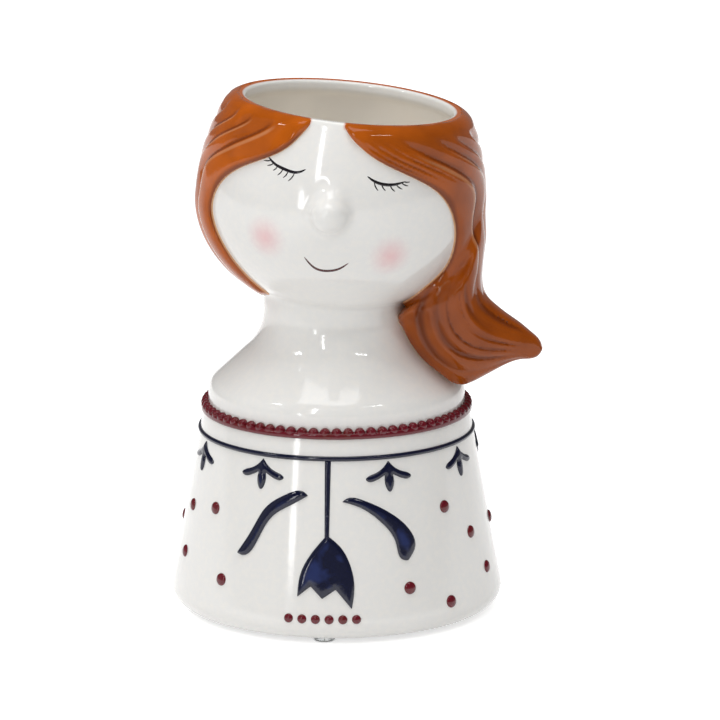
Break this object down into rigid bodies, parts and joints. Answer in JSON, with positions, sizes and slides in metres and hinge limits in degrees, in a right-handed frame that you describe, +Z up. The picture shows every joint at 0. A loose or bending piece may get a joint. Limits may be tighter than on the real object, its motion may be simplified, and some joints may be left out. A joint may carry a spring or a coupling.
{
  "type": "head planter",
  "caption": "Glazed ceramic planter shaped as a girl's bust: the open head takes the plant, the hair flicks out over one shoulder and a folk pattern runs round the dress.",
  "frame": {"origin": "on the axis of the dress, on the plane of the table that the bumpers stand on", "axes": "+Z up along the axis of the dress, the face towards -Y, the flick of hair towards +X"},
  "size_m": [0.1555, 0.1382, 0.2176],
  "materials": {
    "white_glaze": "gloss",
    "hair_glaze": "gloss",
    "navy_glaze": "gloss",
    "red_glaze": "gloss",
    "bumper_rubber": "satin"
  },
  "bodies": {
    "root": {"bust_casting": "white_glaze", "hair": "hair_glaze", "neckline_stripe": "navy_glaze", "tulip_head": "navy_glaze", "tulip_stem": "navy_glaze", "leaf_left": "navy_glaze", "leaf_right": "navy_glaze", "blossom_1": "navy_glaze", "blossom_2": "navy_glaze", "blossom_3": "navy_glaze", "blossom_4": "navy_glaze", "blossom_5": "navy_glaze", "blossom_6": "navy_glaze", "blossom_7": "navy_glaze", "blossom_8": "navy_glaze", "blossom_9": "navy_glaze", "bead_trim": "red_glaze", "scatter_dots": "red_glaze", "hem_dots": "red_glaze", "bumper_front": "bumper_rubber", "bumper_rear_right": "bumper_rubber", "bumper_rear_left": "bumper_rubber"}
  },
  "joints": []
}
